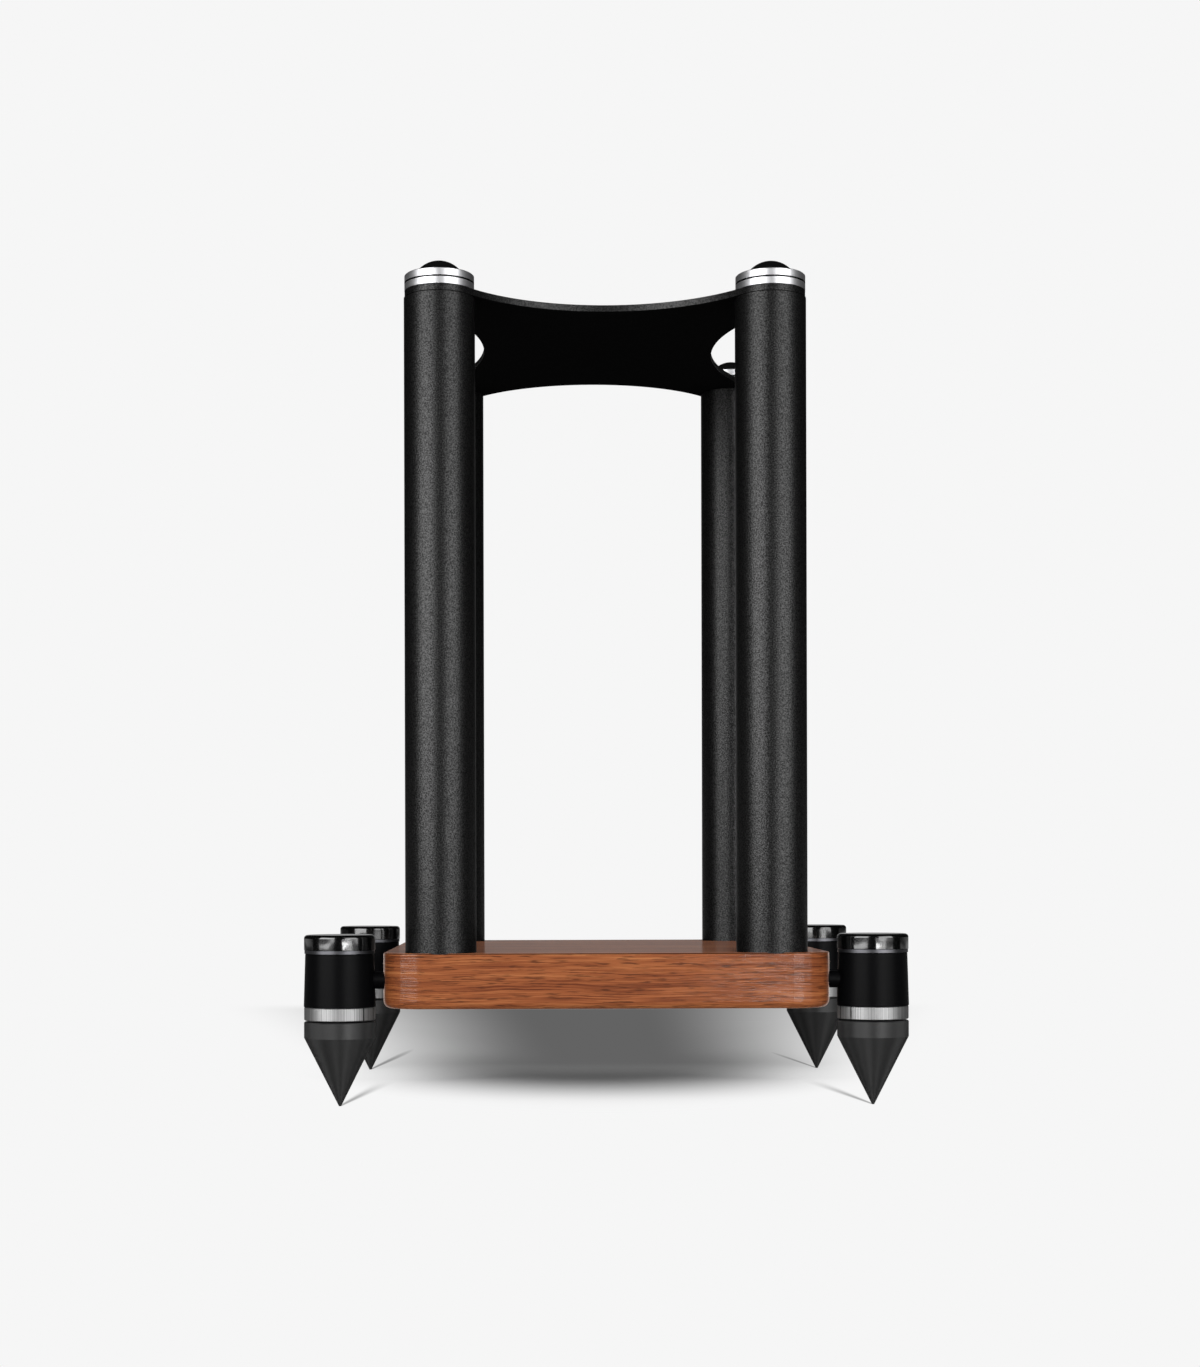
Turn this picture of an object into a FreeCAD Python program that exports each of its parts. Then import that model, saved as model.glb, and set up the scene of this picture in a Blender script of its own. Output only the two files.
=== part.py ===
import FreeCAD, Part
import math
import os

# Loudspeaker stand. A timber base board and a thin steel top plate are joined by four round
# columns. The stand rests on four outboard feet. Each foot is a turned body bolted to the side
# of the board, with a spike that a knob on top screws out and a lock ring that holds it.
#
# Millimetres. The origin is on the floor, midway between the spike tips, with every spike
# screwed home. +Z is up, +X is to the right and +Y is to the rear.

# ---------------------------------------------------------------- driving dimensions

# Columns
column_spacing_x = 233.0        # centre to centre, left to right
column_spacing_y = 298.0        # centre to centre, front to rear
column_radius = 25.0
column_wall = 2.5
column_length = 460.0
bottom_plug_height = 20.0       # threaded plugs pressed into the tube ends
top_plug_height = 18.0

# Base board: flush with the columns at the front and rear, wider than them at the sides
board_side_margin = 15.5        # from the columns out to the board's sides
board_thickness = 38.8
board_corner_radius = 28.0
board_top_round = 1.0
board_bottom_round = 5.0
seat_depth = 0.7                # each column stands in a shallow round seat
seat_clearance = 0.15

# Bolts that draw the columns down on the board, from below
base_bolt_radius = 5.0
base_bolt_length = 45.0
base_bolt_head_radius = 8.0
base_bolt_head_height = 10.0
base_bolt_key_width = 8.0       # across the flats of the hexagon socket
base_bolt_key_depth = 5.0
base_washer_radius = 10.5
base_washer_thickness = 2.0
counterbore_radius = 12.0
counterbore_depth = 13.0
bolt_hole_clearance = 0.4       # all round the shank

# Top plate: a lobe over each column, and a waist drawn in between them on all four sides
plate_thickness = 5.0
lobe_inset = 0.6                # of a lobe's rim behind the column's surface
front_waist_half_depth = 114.8  # from the centre to the middle of the front edge
side_waist_half_width = 88.0    # from the centre to the middle of a side edge
plate_edge_break = 0.4

# Clamp stack on each column: collar, disc with its stud, and rubber dome
collar_height = 4.8
disc_height = 6.1
ring_inset = 0.5                # of the rings' rims behind the column's surface
ring_edge_break = 0.5            # at the top of the disc
ring_groove_height = 0.8         # turned into the foot of the disc, a dark line above the collar
ring_groove_depth = 0.8
stud_radius = 5.0
stud_tip_clearance = 3.0        # from the stud's end to the lower end of the top plug
dome_base_radius = 17.0
dome_sphere_radius = 20.0
dome_rim_height = 1.1           # straight rim of the dome above the disc
dome_recess_depth = 1.0
dome_recess_clearance = 0.1

# Foot, from the floor up
foot_gap = 5.4                  # between the board's side and the foot body
foot_radius = 25.0              # of the spike, and nominally of all that is stacked on it
spike_tip_radius = 0.8
spike_cone_height = 48.3
spike_collar_height = 11.2
spike_edge_break = 0.6
ring_gap = 1.1                  # from the spike's shoulder to the lock ring
lock_ring_inset = 0.1
lock_ring_height = 9.2
lock_ring_edge_break = 0.5
foot_body_flare = 0.2           # wider than the spike at the bottom
foot_body_inset = 0.9           # narrower than it at the top
foot_body_height = 37.5
foot_body_edge_break = 0.5
foot_body_top_wall = 8.0
foot_cavity_radius = 16.0
slip_washer_inset = 0.4
slip_washer_thickness = 2.2
knob_inset = 0.1
knob_height = 10.9
knob_top_round = 2.5
knob_edge_break = 0.4

# Levelling screw inside the foot
stem_radius = 5.95              # threaded stem of the spike
thread_clearance = 0.05
bush_height = 18.0              # threaded bush pressed into the foot body from below
spike_travel = 10.5
hub_radius = 9.0                # hub of the knob, which turns in the top wall
hub_clearance = 0.05
washer_bore_clearance = 0.3
hub_end_lip = 2.0               # of the hub below its retaining ring
retainer_groove_depth = 1.0
retainer_thickness = 1.2
retainer_width = 3.0            # radial
retainer_gap_angle = 50.0
retainer_play = 0.2
stop_gap = 0.3                  # between the stem and the hub with the spike screwed home
driver_width = 5.0              # across the flats of the hexagon bar
driver_clearance = 0.1
driver_grip = 14.0              # of the bar left in the stem at full travel
driver_end_clearance = 1.0
driver_seat_depth = 8.0         # of the bar in the hub

# Fastening of each foot to the board
foot_stud_height = 18.5         # above the bottom of the foot body
foot_stud_radius = 4.0
foot_stud_reach = 6.0           # into the foot body
foot_stud_grip = 20.0           # into the board's insert
foot_insert_radius = 6.0
foot_insert_length = 22.0
foot_insert_end_clearance = 2.0
foot_seat_depth = 2.0            # round seat of the spacer in the board's side
foot_seat_clearance = 0.2
foot_spacer_radius = 6.0
foot_spacer_clearance = 0.2
spot_face_depth = 1.3           # flat on the foot body for the spacer
spot_face_margin = 1.0

# ---------------------------------------------------------------- worked-out places

column_x = column_spacing_x / 2
column_y = column_spacing_y / 2
lobe_radius = column_radius - lobe_inset
ring_radius = column_radius - ring_inset

lock_ring_radius = foot_radius - lock_ring_inset
foot_body_bottom_radius = foot_radius + foot_body_flare
foot_body_top_radius = foot_radius - foot_body_inset
slip_washer_radius = foot_radius - slip_washer_inset
knob_radius = foot_radius - knob_inset

board_half_width = column_x + column_radius + board_side_margin
board_half_depth = column_y + column_radius
foot_x = board_half_width + foot_gap + foot_body_bottom_radius
foot_y = column_y
foot_seat_x = board_half_width - foot_seat_depth - foot_x   # from the foot's axis

spike_shoulder_z = spike_cone_height + spike_collar_height
lock_ring_z = spike_shoulder_z + ring_gap
foot_body_z = lock_ring_z + lock_ring_height
foot_body_top_z = foot_body_z + foot_body_height
knob_z = foot_body_top_z + slip_washer_thickness
knob_top_z = knob_z + knob_height
foot_stud_z = foot_body_z + foot_stud_height

retainer_top_z = foot_body_top_z - foot_body_top_wall - retainer_play
retainer_z = retainer_top_z - retainer_thickness
hub_end_z = retainer_z - hub_end_lip
stem_top_z = hub_end_z - stop_gap
driver_z = stem_top_z - spike_travel - driver_grip

foot_body_slope = (foot_body_top_radius - foot_body_bottom_radius) / foot_body_height
foot_body_radius_at_stud = foot_body_bottom_radius + foot_body_slope * foot_stud_height
spot_face_distance = foot_body_radius_at_stud - spot_face_depth   # from the foot's axis

board_z = foot_stud_z - board_thickness / 2
board_top_z = board_z + board_thickness
column_z = board_top_z - seat_depth
column_top_z = column_z + column_length
plate_top_z = column_top_z + plate_thickness
disc_z = plate_top_z + collar_height
disc_top_z = disc_z + disc_height
washer_z = board_z + counterbore_depth - base_washer_thickness

corners = {
    "front_left": (-1, -1),
    "front_right": (1, -1),
    "rear_left": (-1, 1),
    "rear_right": (1, 1),
}


# ---------------------------------------------------------------- helpers

def vector(x, y, z):
    return FreeCAD.Vector(x, y, z)


def rod(radius, bottom, top):
    """Upright cylinder on the Z axis."""
    return Part.makeCylinder(radius, top - bottom, vector(0, 0, bottom))


def side_rod(radius, start_x, end_x, height):
    """Level cylinder along +X at a given height."""
    return Part.makeCylinder(radius, end_x - start_x, vector(start_x, 0, height), vector(1, 0, 0))


def hexagon_bar(width, bottom, top):
    """Upright hexagonal prism, given across its flats."""
    corner_radius = width / math.sqrt(3)
    points = []
    for step in range(7):
        angle = math.radians(60 * step)
        points.append(vector(corner_radius * math.cos(angle), corner_radius * math.sin(angle), bottom))
    face = Part.Face(Part.makePolygon(points))
    return face.extrude(vector(0, 0, top - bottom))


def turned(outline):
    """Solid turned about the Z axis from (radius, height) points in order."""
    points = [vector(radius, 0, height) for radius, height in outline]
    face = Part.Face(Part.makePolygon(points + points[:1]))
    return face.revolve(vector(0, 0, 0), vector(0, 0, 1), 360)


def turned_drum(radius, bottom, top, edge_break):
    """Turned cylinder with both outer edges broken by a small chamfer."""
    return turned([
        (0, bottom),
        (radius - edge_break, bottom),
        (radius, bottom + edge_break),
        (radius, top - edge_break),
        (radius - edge_break, top),
        (0, top),
    ])


def edges_at_height(shape, height):
    """Edges of the outer outline that lie in one level plane."""
    found = []
    for edge in shape.Edges:
        box = edge.BoundBox
        if abs(box.ZMin - height) < 1e-6 and abs(box.ZMax - height) < 1e-6:
            found.append(edge)
    return found


def arc_through(start, middle, end):
    return Part.Arc(start, middle, end).toShape()


def move(shape, x, y):
    return shape.translated(vector(x, y, 0))


def at_columns(shape):
    """One copy of a shape on every column axis, kept as separate solids."""
    copies = [move(shape, side * column_x, end * column_y) for side, end in corners.values()]
    return Part.makeCompound(copies)


def at_feet(shape):
    """One copy of a shape, drawn for the right side, on every foot axis."""
    copies = []
    for side, end in corners.values():
        turn = 0 if side > 0 else 180
        copy = shape.copy()
        copy.rotate(vector(0, 0, 0), vector(0, 0, 1), turn)
        copies.append(move(copy, side * foot_x, end * foot_y))
    return Part.makeCompound(copies)


# ---------------------------------------------------------------- base board

def rounded_rectangle(half_width, half_depth, radius, height):
    """Face with straight sides and quarter-round corners, at a given height."""
    inner_x = half_width - radius
    inner_y = half_depth - radius
    edges = []
    for quarter in range(4):
        centre_angle = math.radians(45 + 90 * quarter)
        side = 1 if math.cos(centre_angle) > 0 else -1
        end = 1 if math.sin(centre_angle) > 0 else -1
        centre = vector(side * inner_x, end * inner_y, height)
        circle = Part.Circle(centre, vector(0, 0, 1), radius)
        start_angle = math.radians(90 * quarter)
        edges.append(Part.Arc(circle, start_angle, start_angle + math.pi / 2).toShape())
    outline = []
    for index, edge in enumerate(edges):
        following = edges[(index + 1) % 4]
        outline.append(edge)
        outline.append(Part.makeLine(edge.Vertexes[-1].Point, following.Vertexes[0].Point))
    return Part.Face(Part.Wire(outline))


def base_board():
    face = rounded_rectangle(board_half_width, board_half_depth, board_corner_radius, board_z)
    board = face.extrude(vector(0, 0, board_thickness))
    board = board.makeFillet(board_bottom_round, edges_at_height(board, board_z))
    board = board.makeFillet(board_top_round, edges_at_height(board, board_top_z))
    seat = rod(column_radius + seat_clearance, column_z, board_top_z + seat_depth)
    bolt_hole = rod(base_bolt_radius + bolt_hole_clearance, board_z, board_top_z)
    counterbore = rod(counterbore_radius, board_z - 1, board_z + counterbore_depth)
    board = board.cut(at_columns(seat.fuse(bolt_hole)))
    board = board.cut(at_columns(counterbore))
    insert_hole = side_rod(
        foot_insert_radius,
        foot_seat_x - foot_insert_length - foot_insert_end_clearance,
        foot_seat_x + foot_gap / 2,
        foot_stud_z,
    )
    spacer_seat = side_rod(
        foot_spacer_radius + foot_seat_clearance,
        foot_seat_x,
        foot_seat_x + foot_seat_depth + foot_gap / 2,
        foot_stud_z,
    )
    return board.cut(at_feet(insert_hole.fuse(spacer_seat)))


# ---------------------------------------------------------------- columns

def column_tube():
    outside = rod(column_radius, column_z, column_top_z)
    return outside.cut(rod(column_radius - column_wall, column_z - 1, column_top_z + 1))


def column_bottom_plug():
    plug = rod(column_radius - column_wall, column_z, column_z + bottom_plug_height)
    return plug.cut(rod(base_bolt_radius, column_z - 1, column_z + bottom_plug_height + 1))


def column_top_plug():
    plug = rod(column_radius - column_wall, column_top_z - top_plug_height, column_top_z)
    return plug.cut(rod(stud_radius, column_top_z - top_plug_height - 1, column_top_z + 1))


def base_bolt():
    head = rod(base_bolt_head_radius, washer_z - base_bolt_head_height, washer_z)
    key = hexagon_bar(
        base_bolt_key_width,
        washer_z - base_bolt_head_height - 1,
        washer_z - base_bolt_head_height + base_bolt_key_depth,
    )
    shank = rod(base_bolt_radius, washer_z, washer_z + base_bolt_length)
    return head.fuse(shank).cut(key)


def base_washer():
    outside = rod(base_washer_radius, washer_z, washer_z + base_washer_thickness)
    hole = rod(base_bolt_radius + bolt_hole_clearance, washer_z - 1, board_z + counterbore_depth + 1)
    return outside.cut(hole)


# ---------------------------------------------------------------- top plate

def waist_centre(lobe_along, lobe_across, waist):
    """Distance from the plate's centre to the centre of a waist arc.

    The arc touches the plate's edge at the waist and is tangent to the two lobes beside it.
    lobe_along is the lobe's offset towards the waist, lobe_across is its offset along the edge.
    """
    reach = lobe_radius - waist
    return (lobe_along ** 2 + lobe_across ** 2 - reach ** 2) / (2 * (lobe_along + reach))


def toward(start, end, distance):
    """Point at a distance from start on the line to end."""
    direction = end.sub(start)
    direction.normalize()
    return start.add(direction.multiply(distance))


def top_plate():
    front_centre = waist_centre(column_y, column_x, front_waist_half_depth)
    side_centre = waist_centre(column_x, column_y, side_waist_half_width)
    # Starting at the right side, in anticlockwise order: each waist, then the lobe after it
    waists = [
        (vector(side_centre, 0, 0), vector(side_waist_half_width, 0, 0)),
        (vector(0, front_centre, 0), vector(0, front_waist_half_depth, 0)),
        (vector(-side_centre, 0, 0), vector(-side_waist_half_width, 0, 0)),
        (vector(0, -front_centre, 0), vector(0, -front_waist_half_depth, 0)),
    ]
    lobes = [
        vector(column_x, column_y, 0),
        vector(-column_x, column_y, 0),
        vector(-column_x, -column_y, 0),
        vector(column_x, -column_y, 0),
    ]
    edges = []
    for index in range(4):
        lobe = lobes[index]
        lobe_before = lobes[index - 1]
        centre, middle = waists[index]
        next_centre = waists[(index + 1) % 4][0]
        start = toward(lobe_before, centre, lobe_radius)
        end = toward(lobe, centre, lobe_radius)
        lobe_end = toward(lobe, next_centre, lobe_radius)
        lobe_tip = lobe.add(toward(vector(0, 0, 0), lobe, lobe_radius))
        edges.append(arc_through(start, middle, end))
        edges.append(arc_through(end, lobe_tip, lobe_end))
    face = Part.Face(Part.Wire(edges))
    plate = face.extrude(vector(0, 0, plate_thickness))
    plate = plate.makeChamfer(plate_edge_break, edges_at_height(plate, plate_thickness))
    plate = plate.makeChamfer(plate_edge_break, edges_at_height(plate, 0))
    plate.translate(vector(0, 0, column_top_z))
    hole = rod(stud_radius + bolt_hole_clearance, column_top_z - 1, plate_top_z + 1)
    return plate.cut(at_columns(hole))


# ---------------------------------------------------------------- clamp stack

def clamp_collar():
    collar = rod(ring_radius, plate_top_z, disc_z)
    return collar.cut(rod(stud_radius + bolt_hole_clearance, plate_top_z - 1, disc_z + 1))


def clamp_disc():
    disc = turned([
        (0, disc_z),
        (ring_radius - ring_groove_depth, disc_z),
        (ring_radius - ring_groove_depth, disc_z + ring_groove_height),
        (ring_radius, disc_z + ring_groove_height),
        (ring_radius, disc_top_z - ring_edge_break),
        (ring_radius - ring_edge_break, disc_top_z),
        (0, disc_top_z),
    ])
    stud = rod(stud_radius, column_top_z - top_plug_height + stud_tip_clearance, disc_z)
    recess_floor = disc_top_z - dome_recess_depth
    recess = rod(dome_base_radius + dome_recess_clearance, recess_floor, disc_top_z + 1)
    return disc.fuse(stud).cut(recess)


def dome_pad():
    recess_floor = disc_top_z - dome_recess_depth
    rim_z = disc_top_z + dome_rim_height
    centre_z = rim_z - math.sqrt(dome_sphere_radius ** 2 - dome_base_radius ** 2)
    top_z = centre_z + dome_sphere_radius
    half_angle = math.asin(dome_base_radius / dome_sphere_radius) / 2
    middle = vector(
        dome_sphere_radius * math.sin(half_angle),
        0,
        centre_z + dome_sphere_radius * math.cos(half_angle),
    )
    foot = vector(dome_base_radius, 0, recess_floor)
    rim_top = vector(dome_base_radius, 0, rim_z)
    top = vector(0, 0, top_z)
    edges = [
        Part.makePolygon([top, vector(0, 0, recess_floor), foot, rim_top]),
        arc_through(rim_top, middle, top),
    ]
    return Part.Face(Part.Wire(edges)).revolve(vector(0, 0, 0), vector(0, 0, 1), 360)


# ---------------------------------------------------------------- feet

def spike():
    body = turned([
        (0, 0),
        (spike_tip_radius, 0),
        (foot_radius, spike_cone_height),
        (foot_radius, spike_shoulder_z - spike_edge_break),
        (foot_radius - spike_edge_break, spike_shoulder_z),
        (stem_radius, spike_shoulder_z),
        (stem_radius, stem_top_z),
        (0, stem_top_z),
    ])
    socket = hexagon_bar(driver_width + 2 * driver_clearance, driver_z - driver_end_clearance, stem_top_z + 1)
    return body.cut(socket)


def lock_ring():
    ring = turned_drum(lock_ring_radius, lock_ring_z, foot_body_z, lock_ring_edge_break)
    return ring.cut(rod(stem_radius + thread_clearance, lock_ring_z - 1, foot_body_z + 1))


def foot_body():
    """Foot body on its own axis, with the board on its -X side."""
    slope = foot_body_slope * foot_body_edge_break
    body = turned([
        (0, foot_body_z),
        (foot_body_bottom_radius - foot_body_edge_break, foot_body_z),
        (foot_body_bottom_radius + slope, foot_body_z + foot_body_edge_break),
        (foot_body_top_radius - slope, foot_body_top_z - foot_body_edge_break),
        (foot_body_top_radius - foot_body_edge_break, foot_body_top_z),
        (0, foot_body_top_z),
    ])
    cavity = rod(foot_cavity_radius, foot_body_z - 1, foot_body_top_z - foot_body_top_wall)
    hub_bore = rod(hub_radius + hub_clearance, foot_body_z, foot_body_top_z + 1)
    spot_face = side_rod(
        foot_spacer_radius + spot_face_margin,
        -foot_body_bottom_radius - 1,
        -spot_face_distance,
        foot_stud_z,
    )
    stud_hole = side_rod(
        foot_stud_radius,
        -foot_body_bottom_radius,
        -spot_face_distance + foot_stud_reach,
        foot_stud_z,
    )
    return body.cut(cavity).cut(hub_bore).cut(spot_face).cut(stud_hole)


def thread_bush():
    bush = rod(foot_cavity_radius, foot_body_z, foot_body_z + bush_height)
    return bush.cut(rod(stem_radius + thread_clearance, foot_body_z - 1, foot_body_z + bush_height + 1))


def slip_washer():
    outside = rod(slip_washer_radius, foot_body_top_z, knob_z)
    return outside.cut(rod(hub_radius + washer_bore_clearance, foot_body_top_z - 1, knob_z + 1))


def level_knob():
    groove_radius = hub_radius - retainer_groove_depth
    knob = turned([
        (0, hub_end_z),
        (hub_radius, hub_end_z),
        (hub_radius, retainer_z),
        (groove_radius, retainer_z),
        (groove_radius, retainer_top_z),
        (hub_radius, retainer_top_z),
        (hub_radius, knob_z),
        (knob_radius - knob_edge_break, knob_z),
        (knob_radius, knob_z + knob_edge_break),
        (knob_radius, knob_top_z),
        (0, knob_top_z),
    ])
    knob = knob.makeFillet(knob_top_round, edges_at_height(knob, knob_top_z))
    return knob.cut(hexagon_bar(driver_width, hub_end_z - 1, hub_end_z + driver_seat_depth))


def knob_driver():
    return hexagon_bar(driver_width, driver_z, hub_end_z + driver_seat_depth)


def knob_retainer():
    """Open spring ring in the groove of the knob's hub."""
    inner = hub_radius - retainer_groove_depth
    outer = inner + retainer_width
    ring = rod(outer, retainer_z, retainer_top_z).cut(rod(inner, retainer_z - 1, retainer_top_z + 1))
    mouth = Part.makeCylinder(
        outer + 1, retainer_thickness + 2, vector(0, 0, retainer_z - 1), vector(0, 0, 1), retainer_gap_angle
    )
    return ring.cut(mouth)


# Fastening of a foot, drawn on the foot's own axis for the right side

def foot_insert():
    outside = side_rod(foot_insert_radius, foot_seat_x - foot_insert_length, foot_seat_x, foot_stud_z)
    hole = side_rod(foot_stud_radius, foot_seat_x - foot_insert_length - 1, foot_seat_x + 1, foot_stud_z)
    return outside.cut(hole)


def foot_spacer():
    outside = side_rod(foot_spacer_radius, foot_seat_x, -spot_face_distance, foot_stud_z)
    hole = side_rod(
        foot_stud_radius + foot_spacer_clearance, foot_seat_x - 1, -spot_face_distance + 1, foot_stud_z
    )
    return outside.cut(hole)


def foot_stud():
    return side_rod(
        foot_stud_radius, foot_seat_x - foot_stud_grip, -spot_face_distance + foot_stud_reach, foot_stud_z
    )


# ---------------------------------------------------------------- files

def write(name, shape):
    shape.exportStep(os.path.join("parts", name + ".step"))


def write_single_pieces():
    write("base_board", base_board())
    write("top_plate", top_plate())


def write_grouped_pieces():
    write("column_bottom_plugs", at_columns(column_bottom_plug()))
    write("column_top_plugs", at_columns(column_top_plug()))
    write("base_bolts", at_columns(base_bolt()))
    write("base_washers", at_columns(base_washer()))
    write("foot_inserts", at_feet(foot_insert()))
    write("foot_spacers", at_feet(foot_spacer()))
    write("foot_studs", at_feet(foot_stud()))


def write_column_pieces(corner, x, y):
    write("column_" + corner, move(column_tube(), x, y))
    write("clamp_collar_" + corner, move(clamp_collar(), x, y))
    write("clamp_disc_" + corner, move(clamp_disc(), x, y))
    write("dome_pad_" + corner, move(dome_pad(), x, y))


def write_foot_pieces(corner, side, x, y):
    body = foot_body()
    if side < 0:
        body.rotate(vector(0, 0, 0), vector(0, 0, 1), 180)
    write("foot_body_" + corner, move(body, x, y))
    write("thread_bush_" + corner, move(thread_bush(), x, y))
    write("slip_washer_" + corner, move(slip_washer(), x, y))
    write("level_knob_" + corner, move(level_knob(), x, y))
    write("knob_driver_" + corner, move(knob_driver(), x, y))
    write("knob_retainer_" + corner, move(knob_retainer(), x, y))
    write("lock_ring_" + corner, move(lock_ring(), x, y))
    write("spike_" + corner, move(spike(), x, y))


os.makedirs("parts", exist_ok=True)
write_single_pieces()
write_grouped_pieces()
for corner, (side, end) in corners.items():
    write_column_pieces(corner, side * column_x, end * column_y)
    write_foot_pieces(corner, side, side * foot_x, end * foot_y)
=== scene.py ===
import bpy
import math
from mathutils import Matrix, Vector

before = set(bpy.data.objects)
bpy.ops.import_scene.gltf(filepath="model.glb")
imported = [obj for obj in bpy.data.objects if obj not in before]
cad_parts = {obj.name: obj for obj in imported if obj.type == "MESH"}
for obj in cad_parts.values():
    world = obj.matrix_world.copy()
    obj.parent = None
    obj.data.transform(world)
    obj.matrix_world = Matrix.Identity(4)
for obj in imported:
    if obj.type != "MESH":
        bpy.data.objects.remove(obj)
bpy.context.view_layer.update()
scene = bpy.context.scene
corners = ["front_left", "front_right", "rear_left", "rear_right"]
footAxis = {"x": 187.6, "y": 149.0, "radius": 21}  # mm from the middle of the stand
print("frame loaded,", len(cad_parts), "nodes")


# one node with its settings; an input given as a node or a socket is linked, anything else is typed in
def addNode(tree, kind, inputs=None, **settings):
    node = tree.nodes.new(kind)
    for name, value in settings.items():
        setattr(node, name, value)
    for name, value in (inputs or {}).items():
        if isinstance(value, bpy.types.Node):
            value = value.outputs[0]
        if isinstance(value, bpy.types.NodeSocket):
            tree.links.new(value, node.inputs[name])
        else:
            node.inputs[name].default_value = value
    return node


# sRGB hex to the linear colour that the shaders want
def hexColour(text):
    def linear(pair):
        value = int(pair, 16) / 255
        return value / 12.92 if value <= 0.04045 else ((value + 0.055) / 1.055) ** 2.4
    return (linear(text[0:2]), linear(text[2:4]), linear(text[4:6]), 1.0)


def newMaterial(name):
    material = bpy.data.materials.new(name)
    material.use_nodes = True
    material.node_tree.nodes.clear()
    return material, material.node_tree


def finishMaterial(tree, surface, bump=None):
    if bump is not None:
        tree.links.new(bump.outputs["Normal"], surface.inputs["Normal"])
    addNode(tree, "ShaderNodeOutputMaterial", {"Surface": surface})


# position in millimetres, in the stand's own frame
def millimetres(tree):
    place = addNode(tree, "ShaderNodeTexCoord").outputs["Object"]
    return addNode(tree, "ShaderNodeVectorMath", {0: place, "Scale": 1000.0}, operation="SCALE").outputs[0]


# the camera stands at the photograph's place: its lens and shift come from the fitted 1200 x 1367 frame
cameraView = {
    "frameWidth": 1200,
    "frameHeight": 1367,
    "focal": 2173.67,  # pixels
    "centre": (552.54, 881.60),  # where the lens axis meets the frame, in pixels
    "place": (-0.05610, -1.67798, 0.15736),
    "yaw": 0.0119,  # radians to the right
    "roll": 0.0025,  # radians, clockwise
    "sensor": 36,
    "farthest": 50,  # m
}


def makeCamera(view):
    longSide = max(view["frameWidth"], view["frameHeight"])
    data = bpy.data.cameras.new("camera")
    data.sensor_width = view["sensor"]
    data.lens = view["focal"] * view["sensor"] / longSide
    data.shift_x = (view["frameWidth"] / 2 - view["centre"][0]) / longSide
    data.shift_y = (view["centre"][1] - view["frameHeight"] / 2) / longSide
    data.clip_end = view["farthest"]
    forward = Vector((math.sin(view["yaw"]), math.cos(view["yaw"]), 0))
    level = Vector((math.cos(view["yaw"]), -math.sin(view["yaw"]), 0))
    upright = Vector((0, 0, 1))
    right = level * math.cos(view["roll"]) - upright * math.sin(view["roll"])
    up = level * math.sin(view["roll"]) + upright * math.cos(view["roll"])
    turned = Matrix((right, up, -forward)).transposed().to_4x4()
    camera = bpy.data.objects.new("camera", data)
    camera.matrix_world = Matrix.Translation(view["place"]) @ turned
    scene.collection.objects.link(camera)
    scene.camera = camera


makeCamera(cameraView)
print("camera placed")


# the studio: a sheet of pale paper, four softboxes and a low strip for the gloss, three keys for the rest
studio = {
    "paper": "f6f6f6",
    "paperAlbedo": "f5f5f5",
    "paperMirrored": 0.05,  # how much of the paper the polished pieces show
    "paperFront": -1.35,  # metres from the stand
    "paperRear": 1.42,
    "paperHalfWidth": 0.95,
    "litReach": (0.40, 0.80),  # radius over which the lit paper turns into plain backdrop
    "litFront": (0.09, -0.20),  # and where it does so towards the camera, sooner at the sides
    "litCurve": -4.5,
    "litSide": (0.05, 0.26),  # and to either side
    "ambient": 0.47,
    "studioDark": 0.008,
    "rearGlow": 0.27,  # the pale backdrop low behind the stand, as polished faces seen edge-on show it
    "rearWidth": (0.45, 0.15),
    "rearHeight": (0.35, 0.10),
    "lowGlow": 0.4,  # the paper's far sides, which the lowest faces show at their edges
    "lowHeight": (-0.16, -0.05),
    "lowTop": (-0.015, -0.04),
}
# azimuth in degrees from the camera's side, sizes in metres, and at brightness 1 a mirror shows white
softboxes = [
    {"name": "leftSoftbox", "azimuth": -41, "low": 0.10, "tall": 0.77, "wide": 1.49, "brightness": 5.0},
    {"name": "leftUpperSoftbox", "azimuth": -41, "low": 0.87, "tall": 0.65, "wide": 1.49, "brightness": 3.0},
    {"name": "rightSoftbox", "azimuth": 37.5, "low": 0.10, "tall": 0.77, "wide": 1.31, "brightness": 3.7},
    {"name": "lowStrip", "azimuth": 22, "low": 0.0, "tall": 0.045, "wide": 0.90, "brightness": 22.0},
    {"name": "rightUpperSoftbox", "azimuth": 37.5, "low": 0.87, "tall": 0.65, "wide": 1.31,
     "brightness": 2.4},
]
softboxDistance = 1.75
keys = [  # degrees, and sun strength
    {"name": "middleKey", "elevation": 33, "azimuth": 0, "strength": 2.1, "softness": 40},
    {"name": "leftKey", "elevation": 33, "azimuth": -42, "strength": 0.6, "softness": 50},
    {"name": "rightKey", "elevation": 33, "azimuth": 42, "strength": 0.6, "softness": 50},
]
# the long soft shade behind the stand is painted on the paper, matched to the photograph's own view
shade = {
    "light": 0.135,  # how light it stays
    "start": (0.00, 0.22),
    "end": (0.98, 1.15),
    "side": (0.03, 0.205),
    "spread": 1.2,
    "offset": 0.016,  # it lies a little to the right
}
# so is the thin shadow of each spike, slanting inwards: front pair, rear pair
streaks = [
    {"tip": -footAxis["y"] / 1000, "depth": 0.70, "end": (-0.13, 0.06)},
    {"tip": footAxis["y"] / 1000, "depth": 0.80, "end": (0.18, 0.60)},
]
streakLine = {
    "foot": footAxis["x"] / 1000,
    "slant": 0.112,
    "width": (0.002, 0.05),  # half width at the tip, and how it grows
}


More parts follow.
